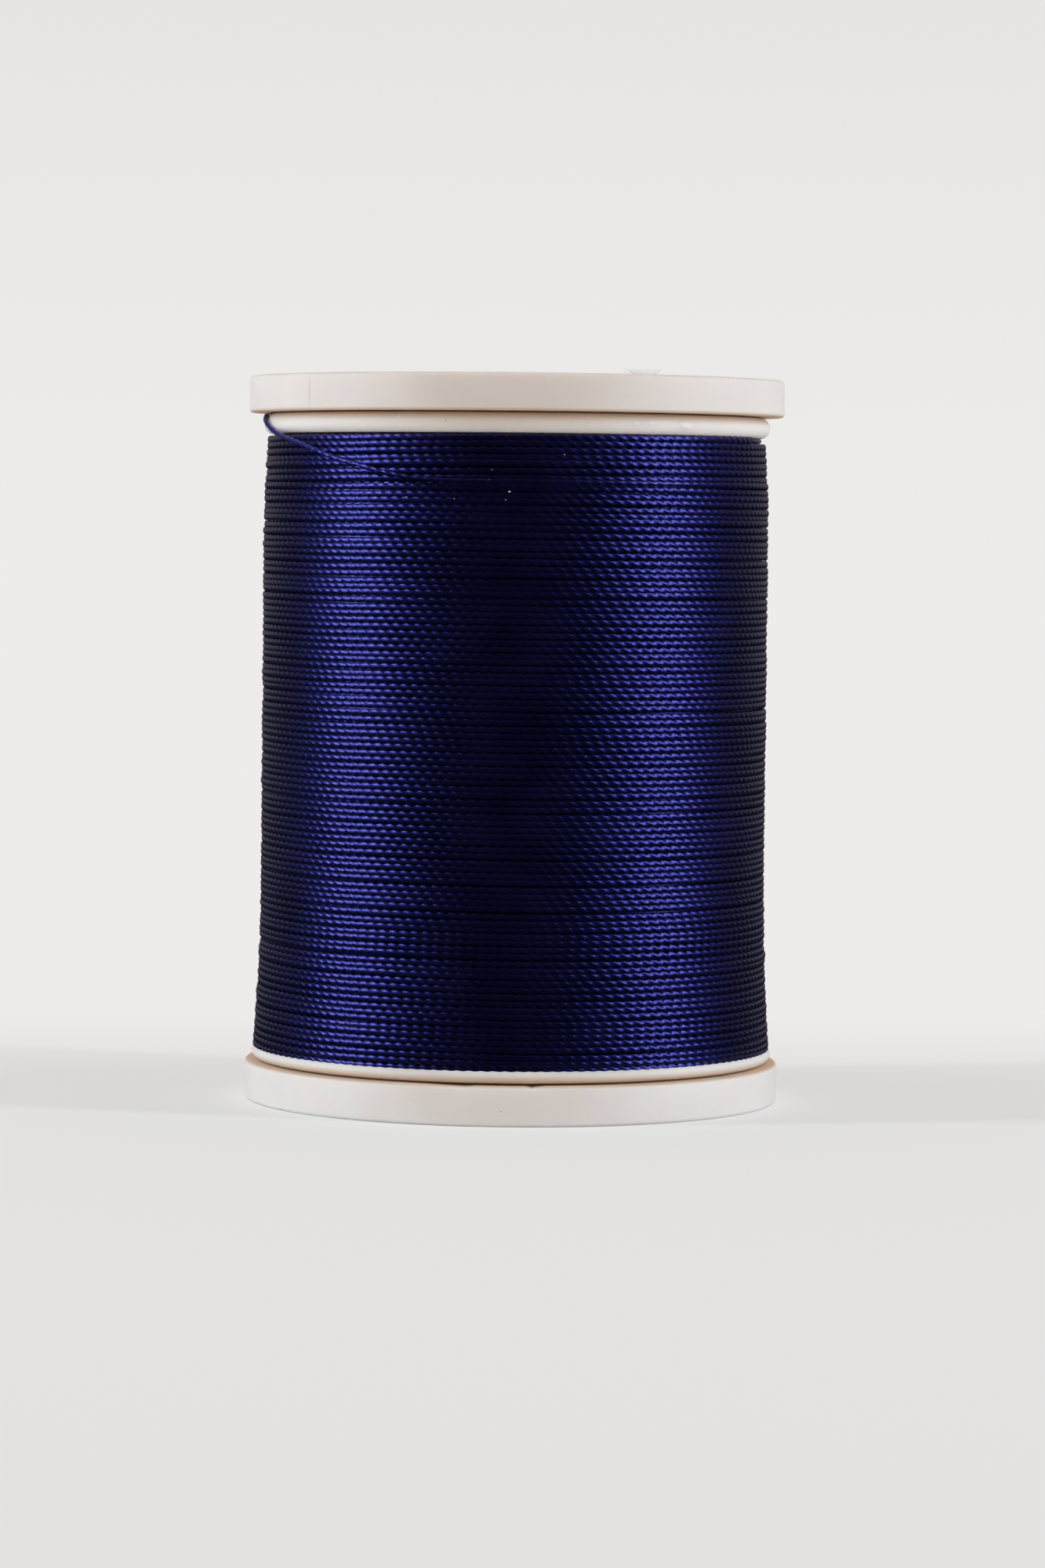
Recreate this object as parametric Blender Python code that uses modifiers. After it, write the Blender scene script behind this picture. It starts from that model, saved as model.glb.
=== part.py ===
"""Snap spool of sewing thread, standing on its end.

A moulded barrel has a thin round-edged flange at each end. A thicker cap snaps into the barrel's bore
over each flange and slides a little way off it, which opens a slit that holds the end of the thread.
The thread is wound on the barrel between the flanges, and its tail crosses the top flange into the slit.

Units are metres, +Z is up, and the origin is the centre of the face that the spool stands on.
"""

import math

import bmesh
import bpy
import numpy as np
from mathutils import Matrix, Vector

# The whole spool
OVERALL_HEIGHT = 0.0432
PIECE_CLEARANCE = 0.0003  # between pieces that rest or run on each other
TURN_STEPS = 48  # facets round a turned piece

# Caps: a rim, a web with the hole for the machine's spool pin, and a ring of snap fingers
CAP_RADIUS = 0.0160
TOP_CAP_HEIGHT = 0.00199
BOTTOM_CAP_HEIGHT = 0.00219
CAP_EDGE_ROUND = 0.00025
CAP_RIM_WALL = 0.0022
CAP_WEB_THICKNESS = 0.0011
PIN_HOLE_RADIUS = 0.0040
OPEN_TRAVEL = 0.0022  # how far a cap slides off its flange
THREAD_CLEARANCE = 0.00006  # each side of the thread, where a closed slit holds it

# Snap fingers, which run in the bore of the barrel
FINGER_COUNT = 6
FINGER_WALL = 0.0010
FINGER_SLOT_WIDTH = 0.0018
FINGER_ROOT_RING = 0.0006  # unslotted ring that joins the fingers under the web
BEAD_HEIGHT = 0.0008  # how far the bead stands out of its finger
BEAD_LAND_LENGTH = 0.0004
BEAD_TIP_LENGTH = 0.0006

# Barrel: a tube with a flange at each end, and grooves for the beads in its bore
TUBE_RADIUS = 0.0095
BORE_RADIUS = 0.0080
TOP_FLANGE_RADIUS = 0.01515
BOTTOM_FLANGE_RADIUS = 0.0156
FLANGE_THICKNESS = 0.00104
FLANGE_EDGE_STEPS = 6
BORE_LEAD_IN = 0.0003
SHOULDER_DEPTH = 0.0012  # from the flange's outer face to the shoulder that keeps the cap on
GROOVE_SLOPE = 0.0003
DETENT_HEIGHT = 0.00015  # low land between the grooves for closed and open
DETENT_LENGTH = 0.0006
STOP_CLEARANCE = 0.0001  # between bead and shoulder when the cap is fully open
KEY_RISE = 0.0010  # how far a key stands into the bore, to stop the cap from turning
KEY_TOP_DEPTH = 0.0006
KEY_ROOT = 0.0003  # how far a key is sunk into the wall behind the groove

# Winding: a smooth core of buried turns under one open layer of turns
WINDING_WAIST_INSET = 0.00002  # how far the rows stay inside the edge of the top flange
WINDING_HEAD_INSET = 0.00027  # the same at the highest row
WINDING_FOOT_INSET = 0.00010  # and at the lowest row, inside the edge of the bottom flange
WINDING_FOOT_HEIGHT = 0.0100  # how far up the foot's flare reaches
WINDING_HEAD_HEIGHT = 0.0060  # how far down the head's taper reaches
WINDING_CORE_STEPS = 10
LAYER_TURNS = 23
LAYER_POINTS_A_TURN = 24
LAYER_DIAMETER = 0.00095
LAYER_END_BEND = 0.0005  # length of the slanting step where an end turns up or down
LAYER_START_ANGLE = 180  # degrees from the front, towards the left

# Tail of the thread: it leaves the last turn, crosses the top flange into the slit, passes round the
# fingers of the cap and comes out to a loose end at the back.
# Each point is: degrees from the front towards the left, radius, height.
TAIL_DIAMETER = 0.0003
TAIL_POINT_SPACING = 0.00072
TAIL_ROUTE = (
    (6, 0.01526, 0.03700),
    (12, 0.01526, 0.03700),
    (18, 0.01526, 0.03704),
    (24, 0.01525, 0.03719),
    (30, 0.01524, 0.03746),
    (36, 0.01522, 0.03783),
    (42, 0.01520, 0.03817),
    (48, 0.01517, 0.03857),
    (54, 0.01514, 0.03898),
    (60, 0.01512, 0.03930),
    (65, 0.01511, 0.03952),
    (68.5, 0.01515, 0.03973),
    (71, 0.01528, 0.03996),
    (73, 0.01536, 0.04019),
    (75, 0.01536, 0.04041),
    (77, 0.01530, 0.04059),
    (79, 0.01518, 0.04074),
    (81.5, 0.01502, 0.04087),
    (84, 0.01478, 0.04096),
    (86.5, 0.01445, 0.04100),
    (89.3, 0.01385, 0.04100),
    (93.6, 0.01270, 0.04100),
    (98.4, 0.01155, 0.04100),
    (104.5, 0.01045, 0.04100),
    (112, 0.00950, 0.04100),
    (121, 0.00875, 0.04100),
    (131, 0.00825, 0.04100),
    (141, 0.00803, 0.04100),
    (151, 0.00803, 0.04100),
    (161, 0.00825, 0.04100),
    (171, 0.00875, 0.04100),
    (180, 0.00950, 0.04100),
    (187.5, 0.01045, 0.04100),
    (193.6, 0.01155, 0.04100),
    (198.4, 0.01270, 0.04100),
    (202.2, 0.01395, 0.04100),
    (205.2, 0.01520, 0.04100),
    (207.2, 0.01605, 0.04100),
    (208.4, 0.01645, 0.04116),
    (209, 0.01659, 0.04165),
    (209.5, 0.01658, 0.04232),
    (210, 0.01650, 0.04300),
)

SMOOTH_UNDER = math.radians(35)

# Levels that follow from the sizes above
SLIT_WIDTH = TAIL_DIAMETER + 2 * THREAD_CLEARANCE
TOP_LIP_Z = OVERALL_HEIGHT - TOP_CAP_HEIGHT
BOTTOM_LIP_Z = BOTTOM_CAP_HEIGHT
TOP_FACE_Z = TOP_LIP_Z - SLIT_WIDTH
BOTTOM_FACE_Z = BOTTOM_LIP_Z + SLIT_WIDTH
WINDING_HEAD_Z = TOP_FACE_Z - FLANGE_THICKNESS
WINDING_FOOT_Z = BOTTOM_FACE_Z + FLANGE_THICKNESS

# Radii of the winding, which is full nearly to the edges of its flanges
WINDING_WAIST_RADIUS = TOP_FLANGE_RADIUS - WINDING_WAIST_INSET
WINDING_HEAD_RADIUS = TOP_FLANGE_RADIUS - WINDING_HEAD_INSET
WINDING_FOOT_RADIUS = BOTTOM_FLANGE_RADIUS - WINDING_FOOT_INSET

# Depths into the bore, from a flange's outer face, with the cap closed
FINGER_RADIUS = BORE_RADIUS - PIECE_CLEARANCE
BEAD_RADIUS = FINGER_RADIUS + BEAD_HEIGHT
GROOVE_RADIUS = BEAD_RADIUS + PIECE_CLEARANCE
BEAD_DEPTH = SHOULDER_DEPTH + OPEN_TRAVEL + STOP_CLEARANCE
BEAD_LAND_DEPTH = BEAD_DEPTH + BEAD_HEIGHT * GROOVE_SLOPE / (GROOVE_RADIUS - BORE_RADIUS)
BEAD_TIP_DEPTH = BEAD_LAND_DEPTH + BEAD_LAND_LENGTH + BEAD_TIP_LENGTH
GROOVE_END_DEPTH = BEAD_TIP_DEPTH + PIECE_CLEARANCE
DETENT_DEPTH = (SHOULDER_DEPTH + GROOVE_SLOPE + BEAD_LAND_DEPTH - DETENT_LENGTH) / 2


def clear_scene():
    for obj in list(bpy.data.objects):
        bpy.data.objects.remove(obj, do_unlink=True)


def collection(name):
    made = bpy.data.collections.new(name)
    bpy.context.scene.collection.children.link(made)
    return made


def moulded_plastic():
    """White polypropylene with a soft shine."""
    made = bpy.data.materials.new("white_polypropylene")
    made.use_nodes = True
    shader = made.node_tree.nodes["Principled BSDF"]
    shader.inputs["Base Color"].default_value = (0.80, 0.77, 0.72, 1)
    shader.inputs["Roughness"].default_value = 0.42
    shader.inputs["Metallic"].default_value = 0
    return made


def polyester_thread():
    """Dark violet-blue filament polyester."""
    made = bpy.data.materials.new("violet_polyester_thread")
    made.use_nodes = True
    shader = made.node_tree.nodes["Principled BSDF"]
    shader.inputs["Base Color"].default_value = (0.022, 0.014, 0.130, 1)
    shader.inputs["Roughness"].default_value = 0.38
    shader.inputs["Metallic"].default_value = 0
    return made


def place(obj, where, material):
    where.objects.link(obj)
    obj.data.materials.append(material)
    return obj


def profile_mesh(name, profile):
    """Closed outline in the XZ plane, running down the outer side of the piece."""
    mesh = bpy.data.meshes.new(name)
    outline = bmesh.new()
    corners = [outline.verts.new((radius, 0, height)) for radius, height in profile]
    for i, corner in enumerate(corners):
        outline.edges.new((corner, corners[(i + 1) % len(corners)]))
    outline.to_mesh(mesh)
    outline.free()
    return mesh


def turned(name, profile, where, material):
    obj = place(bpy.data.objects.new(name, profile_mesh(name, profile)), where, material)
    screw = obj.modifiers.new("turned", "SCREW")
    screw.axis = "Z"
    screw.angle = 2 * math.pi
    screw.steps = TURN_STEPS
    screw.render_steps = TURN_STEPS
    screw.use_merge_vertices = True
    screw.merge_threshold = 0.000001
    return obj


def radial_boxes(name, inner, outer, width, low, high, where):
    """One box for each snap finger gap, set round the axis as a helper for a Boolean."""
    shape = bmesh.new()
    for i in range(FINGER_COUNT):
        turn = Matrix.Rotation(2 * math.pi * (i + 0.5) / FINGER_COUNT, 4, "Z")
        middle = Matrix.Translation(((inner + outer) / 2, 0, (low + high) / 2))
        size = Matrix.Diagonal((outer - inner, width, high - low, 1))
        bmesh.ops.create_cube(shape, size=1, matrix=turn @ middle @ size)
    mesh = bpy.data.meshes.new(name)
    shape.to_mesh(mesh)
    shape.free()
    obj = bpy.data.objects.new(name, mesh)
    obj.hide_render = True
    obj.display_type = "WIRE"
    where.objects.link(obj)
    return obj


def boolean(obj, other, operation):
    modifier = obj.modifiers.new(operation.lower(), "BOOLEAN")
    modifier.operation = operation
    modifier.solver = "EXACT"
    modifier.object = other


def shade(obj):
    """Makes the modifiers' result the object's own mesh, smooth but for its real edges."""
    graph = bpy.context.evaluated_depsgraph_get()
    mesh = bpy.data.meshes.new_from_object(obj.evaluated_get(graph), depsgraph=graph)
    obj.modifiers.clear()
    obj.data = mesh
    mesh.shade_smooth()
    mesh.set_sharp_from_angle(angle=SMOOTH_UNDER)


def cap_profile(height):
    """A cap with its lip at height 0, its outer face up and its fingers down."""
    edge = CAP_EDGE_ROUND
    corner = edge * (1 - math.sqrt(0.5))
    web = height - CAP_WEB_THICKNESS
    face = -SLIT_WIDTH
    inside = FINGER_RADIUS - FINGER_WALL
    return (
        (PIN_HOLE_RADIUS + edge, height),
        (CAP_RADIUS - edge, height),
        (CAP_RADIUS - corner, height - corner),
        (CAP_RADIUS, height - edge),
        (CAP_RADIUS, edge),
        (CAP_RADIUS - corner, corner),
        (CAP_RADIUS - edge, 0),
        (CAP_RADIUS - CAP_RIM_WALL, 0),
        (CAP_RADIUS - CAP_RIM_WALL, web),
        (FINGER_RADIUS, web),
        (FINGER_RADIUS, face - BEAD_DEPTH),
        (BEAD_RADIUS, face - BEAD_LAND_DEPTH),
        (BEAD_RADIUS, face - BEAD_LAND_DEPTH - BEAD_LAND_LENGTH),
        (FINGER_RADIUS, face - BEAD_TIP_DEPTH),
        (inside, face - BEAD_TIP_DEPTH),
        (inside, web),
        (PIN_HOLE_RADIUS, web),
        (PIN_HOLE_RADIUS, height - edge),
    )


def build_cap(name, height, where, cutters, material):
    """A snap cap, its origin on the axis at the level of its lip."""
    cap = turned(name, cap_profile(height), where, material)
    slots = radial_boxes(
        name + "_finger_slots",
        FINGER_RADIUS - 2 * FINGER_WALL,
        BEAD_RADIUS + FINGER_WALL,
        FINGER_SLOT_WIDTH,
        -SLIT_WIDTH - BEAD_TIP_DEPTH - FINGER_WALL,
        height - CAP_WEB_THICKNESS - FINGER_ROOT_RING,
        cutters,
    )
    slots.parent = cap
    boolean(cap, slots, "DIFFERENCE")
    return cap


def flange_edge(radius, top, bottom):
    """Half-round edge of a flange, from its top face round to its bottom face."""
    half = (top - bottom) / 2
    points = []
    for i in range(FLANGE_EDGE_STEPS + 1):
        angle = math.pi / 2 - math.pi * i / FLANGE_EDGE_STEPS
        points.append((radius - half + half * math.cos(angle), top - half + half * math.sin(angle)))
    return points


def snap_bore(face, inward):
    """The bore at one end, from the flange's outer face inwards; inward is -1 at the top, 1 at the foot."""
    slope = GROOVE_SLOPE
    detent_slope = slope * DETENT_HEIGHT / (GROOVE_RADIUS - BORE_RADIUS)
    depths = (
        (BORE_RADIUS + BORE_LEAD_IN, 0),
        (BORE_RADIUS, BORE_LEAD_IN),
        (BORE_RADIUS, SHOULDER_DEPTH),
        (GROOVE_RADIUS, SHOULDER_DEPTH + slope),
        (GROOVE_RADIUS, DETENT_DEPTH),
        (GROOVE_RADIUS - DETENT_HEIGHT, DETENT_DEPTH + detent_slope),
        (GROOVE_RADIUS - DETENT_HEIGHT, DETENT_DEPTH + DETENT_LENGTH - detent_slope),
        (GROOVE_RADIUS, DETENT_DEPTH + DETENT_LENGTH),
        (GROOVE_RADIUS, GROOVE_END_DEPTH),
        (BORE_RADIUS, GROOVE_END_DEPTH + slope),
    )
    return [(radius, face + inward * depth) for radius, depth in depths]


def build_barrel(where, cutters, material):
    profile = flange_edge(TOP_FLANGE_RADIUS, TOP_FACE_Z, WINDING_HEAD_Z)
    profile += [(TUBE_RADIUS, WINDING_HEAD_Z), (TUBE_RADIUS, WINDING_FOOT_Z)]
    profile += flange_edge(BOTTOM_FLANGE_RADIUS, WINDING_FOOT_Z, BOTTOM_FACE_Z)
    profile += snap_bore(BOTTOM_FACE_Z, 1)
    profile += reversed(snap_bore(TOP_FACE_Z, -1))
    barrel = turned("barrel", profile, where, material)
    for end, face, inward in (("top", TOP_FACE_Z, -1), ("bottom", BOTTOM_FACE_Z, 1)):
        levels = (face + inward * KEY_TOP_DEPTH, face + inward * GROOVE_END_DEPTH)
        keys = radial_boxes(
            end + "_keys",
            BORE_RADIUS - KEY_RISE,
            GROOVE_RADIUS + KEY_ROOT,
            FINGER_SLOT_WIDTH - 2 * PIECE_CLEARANCE,
            min(levels),
            max(levels),
            cutters,
        )
        boolean(barrel, keys, "UNION")
    return barrel


def winding_radius(height):
    """Outer radius of the winding: flared at the foot, even at the waist, drawn in at the head."""
    foot = max(0, 1 - (height - WINDING_FOOT_Z) / WINDING_FOOT_HEIGHT)
    head = max(0, 1 - (WINDING_HEAD_Z - height) / WINDING_HEAD_HEIGHT)
    radius = WINDING_WAIST_RADIUS
    radius += (WINDING_FOOT_RADIUS - WINDING_WAIST_RADIUS) * foot**2
    radius += (WINDING_HEAD_RADIUS - WINDING_WAIST_RADIUS) * head**2
    return radius


def build_winding_core(where, material):
    """The buried turns, as one smooth drum inside the outer layer's flats."""
    flats = WINDING_WAIST_RADIUS * (1 - math.cos(math.pi / LAYER_POINTS_A_TURN))
    inset = LAYER_DIAMETER + flats + PIECE_CLEARANCE
    top = WINDING_HEAD_Z - PIECE_CLEARANCE
    bottom = WINDING_FOOT_Z + PIECE_CLEARANCE
    profile = []
    for i in range(WINDING_CORE_STEPS + 1):
        height = top + (bottom - top) * i / WINDING_CORE_STEPS
        profile.append((winding_radius(height) - inset, height))
    inner = TUBE_RADIUS + PIECE_CLEARANCE
    profile += [(inner, bottom), (inner, top)]
    return turned("thread_winding", profile, where, material)


def round_axis(angle, radius, height):
    """A point from degrees round the axis, counted from the front (-Y) towards the left (-X)."""
    turn = math.radians(angle)
    return Vector((-radius * math.sin(turn), -radius * math.cos(turn), height))


def layer_points():
    """Centreline of the outer layer: an open helix whose ends turn square to the flanges."""
    radius = LAYER_DIAMETER / 2
    slant = LAYER_END_BEND * math.sqrt(0.5)
    top = WINDING_HEAD_Z - PIECE_CLEARANCE
    bottom = WINDING_FOOT_Z + PIECE_CLEARANCE
    first = top - LAYER_DIAMETER - slant
    last = bottom + LAYER_DIAMETER + slant
    count = LAYER_TURNS * LAYER_POINTS_A_TURN

    def on_winding(angle, height):
        return round_axis(angle, winding_radius(height) - radius, height)

    helix = []
    for i in range(count + 1):
        angle = LAYER_START_ANGLE + 360 * i / LAYER_POINTS_A_TURN
        helix.append(on_winding(angle, first + (last - first) * i / count))
    step_back = math.degrees(slant / WINDING_WAIST_RADIUS)
    start = LAYER_START_ANGLE - step_back
    end = LAYER_START_ANGLE + 360 * LAYER_TURNS + step_back
    head_radius = winding_radius(first) - radius
    foot_radius = winding_radius(last) - radius
    head = [round_axis(start, head_radius, top), round_axis(start, head_radius, first + slant)]
    foot = [round_axis(end, foot_radius, last - slant), round_axis(end, foot_radius, bottom)]
    return head + helix + foot


def least_gap(points, diameter):
    """The narrowest space between stretches of a tube that aren't neighbours along it."""
    line = np.array([tuple(point) for point in points])
    steps = np.linalg.norm(np.diff(line, axis=0), axis=1)
    along = np.concatenate([[0], np.cumsum(steps)])
    apart = np.linalg.norm(line[:, None] - line[None], axis=2)
    neighbours = np.abs(along[:, None] - along[None]) < 0.25 * math.tau * WINDING_WAIST_RADIUS
    apart[neighbours] = np.inf
    return apart.min() - diameter


def tube(name, points, diameter, resolution, where, material):
    curve = bpy.data.curves.new(name, "CURVE")
    curve.dimensions = "3D"
    curve.bevel_depth = diameter / 2
    curve.bevel_resolution = resolution
    curve.use_fill_caps = True
    spline = curve.splines.new("POLY")
    spline.points.add(len(points) - 1)
    for target, point in zip(spline.points, points):
        target.co = (*point, 1)
    spline.use_smooth = True
    return place(bpy.data.objects.new(name, curve), where, material)


def build_outer_layer(where, material):
    points = layer_points()
    gap = least_gap(points, LAYER_DIAMETER)
    print(f"thread_outer_layer: {LAYER_TURNS} turns, least gap to itself {gap * 1000:.2f} mm")
    return tube("thread_outer_layer", points, LAYER_DIAMETER, 1, where, material)


def smooth_route(knots, spacing):
    """Points at an even spacing on a smooth curve through the route's own points."""
    ends = [2 * knots[0] - knots[1], *knots, 2 * knots[-1] - knots[-2]]
    fine = []
    for a, b, c, d in zip(ends, ends[1:], ends[2:], ends[3:]):
        for i in range(12):
            t = i / 12
            fine.append(
                0.5 * (2 * b + (c - a) * t + (2 * a - 5 * b + 4 * c - d) * t**2 + (3 * b - a - 3 * c + d) * t**3)
            )
    fine.append(knots[-1])
    line = np.array([tuple(point) for point in fine])
    along = np.concatenate([[0], np.cumsum(np.linalg.norm(np.diff(line, axis=0), axis=1))])
    stops = np.linspace(0, along[-1], math.ceil(along[-1] / spacing) + 1)
    return [Vector([np.interp(stop, along, line[:, axis]) for axis in range(3)]) for stop in stops]


def build_tail(where, material):
    route = [round_axis(*point) for point in TAIL_ROUTE]
    points = smooth_route(route, TAIL_POINT_SPACING)
    length = sum((b - a).length for a, b in zip(points, points[1:]))
    print(f"thread_tail: {len(points)} points, {length * 1000:.1f} mm long")
    return tube("thread_tail", points, TAIL_DIAMETER, 2, where, material)


def build_spool():
    clear_scene()
    spool = collection("spool_of_thread")
    cutters = collection("spool_cutters")
    plastic = moulded_plastic()
    thread = polyester_thread()

    barrel = build_barrel(spool, cutters, plastic)
    top_cap = build_cap("top_cap", TOP_CAP_HEIGHT, spool, cutters, plastic)
    top_cap.location = (0, 0, TOP_LIP_Z)
    bottom_cap = build_cap("bottom_cap", BOTTOM_CAP_HEIGHT, spool, cutters, plastic)
    bottom_cap.location = (0, 0, BOTTOM_LIP_Z)
    bottom_cap.rotation_euler = (math.pi, 0, 0)
    core = build_winding_core(spool, thread)
    build_outer_layer(spool, thread)
    build_tail(spool, thread)

    bpy.context.view_layer.update()
    for piece in (barrel, top_cap, bottom_cap, core):
        shade(piece)


build_spool()
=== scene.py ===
import math

import bpy
import numpy as np
from mathutils import Matrix, Vector


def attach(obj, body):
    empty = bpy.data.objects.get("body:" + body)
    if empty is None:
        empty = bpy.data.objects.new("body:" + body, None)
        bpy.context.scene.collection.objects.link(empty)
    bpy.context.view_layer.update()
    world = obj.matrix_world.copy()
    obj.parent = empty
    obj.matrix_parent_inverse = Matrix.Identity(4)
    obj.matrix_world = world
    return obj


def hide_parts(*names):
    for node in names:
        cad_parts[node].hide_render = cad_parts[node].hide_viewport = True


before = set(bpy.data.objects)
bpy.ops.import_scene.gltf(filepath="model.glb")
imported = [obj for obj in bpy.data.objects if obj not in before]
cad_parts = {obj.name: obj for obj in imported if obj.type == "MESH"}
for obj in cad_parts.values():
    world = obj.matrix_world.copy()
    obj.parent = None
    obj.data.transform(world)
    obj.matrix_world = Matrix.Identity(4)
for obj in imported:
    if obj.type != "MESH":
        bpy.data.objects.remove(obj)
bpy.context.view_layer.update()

# ----------------------------------------------------------------------------------------------
# Camera: a long lens on a stand in front of the spool, a little above its middle and looking
# slightly down, so that both slits are seen nearly edge on. The long side of the 1333 x 2000
# image takes the sensor's 36 mm.
# ----------------------------------------------------------------------------------------------
CAMERA_DISTANCE = 0.3208  # from the spool's axis
CAMERA_HEIGHT = 0.03515
CAMERA_TILT = math.radians(2.896)
CAMERA_PAN = math.radians(0.098)
CAMERA_ROLL = math.radians(0.593)
CAMERA_LENS = 36 * 6816 / 2000  # focal length of 6816 pixels

camera = bpy.data.objects.new("camera", bpy.data.cameras.new("camera"))
bpy.context.scene.collection.objects.link(camera)
camera.data.lens = CAMERA_LENS
camera.data.clip_start = 0.01
camera.matrix_world = (
    Matrix.Translation((0, -CAMERA_DISTANCE, CAMERA_HEIGHT))
    @ Matrix.Rotation(-CAMERA_PAN, 4, "Z")
    @ Matrix.Rotation(math.pi / 2 - CAMERA_TILT, 4, "X")
    @ Matrix.Rotation(CAMERA_ROLL, 4, "Z")
)
bpy.context.scene.camera = camera
bpy.context.scene.view_settings.view_transform = "Standard"


# ----------------------------------------------------------------------------------------------
# Tail of the thread: the end of the last turn, pulled across the top flange into the slit, round
# the fingers of the cap and out at the back. It is two-ply polyester thread, 0.3 mm thick: two
# bundles of bright filament, dyed navy blue and twisted to the right.
# ----------------------------------------------------------------------------------------------
THREAD_DIAMETER = 0.00029
PLY_PITCH = 0.00137  # one full turn of the two plies
THREAD_STEPS = 10  # rings to a turn of the plies
TAIL_DIAMETER = 0.0003
TAIL_PINCH = 0.24  # what is left of its thickness between the lips of the slit
PAINTED_LIGHT_Z = (0.0374, 0.0392)  # between these heights it leaves the wound turns, and its painted lighter colour comes in
PINCH_Z = 0.04080  # it is pinched above this height, and between these two radii
PINCH_REACH = (0.0134, 0.0154)
PINCH_FADES = (0.00012, 0.0003, 0.0005)  # how it thins: going up, at the inner end, at the outer end
PLY_REACH = (1, 0.90, 0.70, 0.90, 1, 0.90, 0.70, 0.90)  # the section's points, as shares of half its width
TAIL_ROUTE = (  # degrees from the front towards the left, radius, height
    (6, 0.01526, 0.03700),
    (12, 0.01526, 0.03700),
    (18, 0.01526, 0.03704),
    (24, 0.01525, 0.03719),
    (30, 0.01524, 0.03746),
    (36, 0.01522, 0.03783),
    (42, 0.01520, 0.03817),
    (48, 0.01517, 0.03857),
    (54, 0.01514, 0.03898),
    (60, 0.01512, 0.03930),
    (65, 0.01511, 0.03952),
    (68.5, 0.01515, 0.03973),
    (71, 0.01528, 0.03996),
    (73, 0.01536, 0.04019),
    (75, 0.01536, 0.04041),
    (77, 0.01530, 0.04059),
    (79, 0.01518, 0.04074),
    (81.5, 0.01502, 0.04087),
    (84, 0.01478, 0.04096),
    (86.5, 0.01445, 0.04100),
    (89.3, 0.01385, 0.04100),
    (93.6, 0.01270, 0.04100),
    (98.4, 0.01155, 0.04100),
    (104.5, 0.01045, 0.04100),
    (112, 0.00950, 0.04100),
    (121, 0.00875, 0.04100),
    (131, 0.00825, 0.04100),
    (141, 0.00803, 0.04100),
    (151, 0.00803, 0.04100),
    (161, 0.00825, 0.04100),
    (171, 0.00875, 0.04100),
    (180, 0.00950, 0.04100),
    (187.5, 0.01045, 0.04100),
    (193.6, 0.01155, 0.04100),
    (198.4, 0.01270, 0.04100),
    (202.2, 0.01395, 0.04100),
    (205.2, 0.01520, 0.04100),
    (207.2, 0.01605, 0.04100),
    (208.4, 0.01645, 0.04116),
    (209, 0.01659, 0.04165),
    (209.5, 0.01658, 0.04232),
    (210, 0.01650, 0.04300),
)


def srgb(text):
    """A hex colour as it is seen, turned to the linear values that a shader takes."""
    parts = [int(text[i : i + 2], 16) / 255 for i in (1, 3, 5)]
    return (*(p / 12.92 if p <= 0.04045 else ((p + 0.055) / 1.055) ** 2.4 for p in parts), 1)


def add(tree, kind, inputs=None, **settings):
    """Adds a node. An input takes a number, a colour or another node's output."""
    node = tree.nodes.new(kind)
    for name, value in settings.items():
        setattr(node, name, value)
    for name, value in (inputs or {}).items():
        if isinstance(value, bpy.types.NodeSocket):
            tree.links.new(value, node.inputs[name])
        else:
            node.inputs[name].default_value = value
    return node


def new_material(name):
    """An empty material and its node tree."""
    made = bpy.data.materials.new(name)
    made.use_nodes = True
    made.node_tree.nodes.clear()
    return made, made.node_tree


def round_axis(angle, radius, height):
    """Places from degrees round the axis, counted from the front (-Y) towards the left (-X)."""
    turn = np.radians(angle)
    return np.stack(np.broadcast_arrays(-radius * np.sin(turn), -radius * np.cos(turn), height), -1)


def smooth_line(knots, spacing):
    """Evenly spaced points on a smooth curve through the knots."""
    knots = np.concatenate([[2 * knots[0] - knots[1]], knots, [2 * knots[-1] - knots[-2]]])
    fine = []
    for a, b, c, d in zip(knots, knots[1:], knots[2:], knots[3:]):
        square = 2 * a - 5 * b + 4 * c - d
        cube = 3 * b - a - 3 * c + d
        for t in np.arange(0, 1, 1 / 12):
            fine.append(0.5 * (2 * b + (c - a) * t + square * t**2 + cube * t**3))
    fine = np.array(fine + [knots[-2]])
    along = np.concatenate([[0], np.cumsum(np.linalg.norm(np.diff(fine, axis=0), axis=1))])
    stops = np.linspace(0, along[-1], math.ceil(along[-1] / spacing) + 1)
    return np.stack([np.interp(stops, along, fine[:, axis]) for axis in range(3)], 1)


def ply_outline(half):
    """The thread's section, two plies pressed together: a closed curve that is swept along the thread."""
    curve = bpy.data.curves.new("two_plies", "CURVE")
    spline = curve.splines.new("POLY")
    spline.points.add(len(PLY_REACH) - 1)
    for i, reach in enumerate(PLY_REACH):
        turn = -math.tau * i / len(PLY_REACH)
        spline.points[i].co = (reach * half * math.cos(turn), reach * half * math.sin(turn), 0, 1)
    spline.use_cyclic_u = True
    outline = bpy.data.objects.new("two_plies", curve)
    bpy.context.scene.collection.objects.link(outline)
    outline.hide_render = True
    return outline


def select_only(obj):
    bpy.ops.object.select_all(action="DESELECT")
    obj.select_set(True)
    bpy.context.view_layer.objects.active = obj


def four_columns(points):
    """Points as a curve takes them, with a weight of 1 each."""
    return np.column_stack([points, np.ones(len(points))]).astype(np.float32).ravel()


def to_mesh(obj):
    """Turns a swept curve into a smooth mesh and welds its ends, so that it is closed."""
    select_only(obj)
    bpy.ops.object.convert(target="MESH")
    bpy.ops.object.mode_set(mode="EDIT")
    bpy.ops.mesh.select_all(action="SELECT")
    bpy.ops.mesh.remove_doubles(threshold=1e-7)
    bpy.ops.object.mode_set(mode="OBJECT")
    bpy.ops.object.shade_smooth()
    return bpy.context.object


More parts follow.
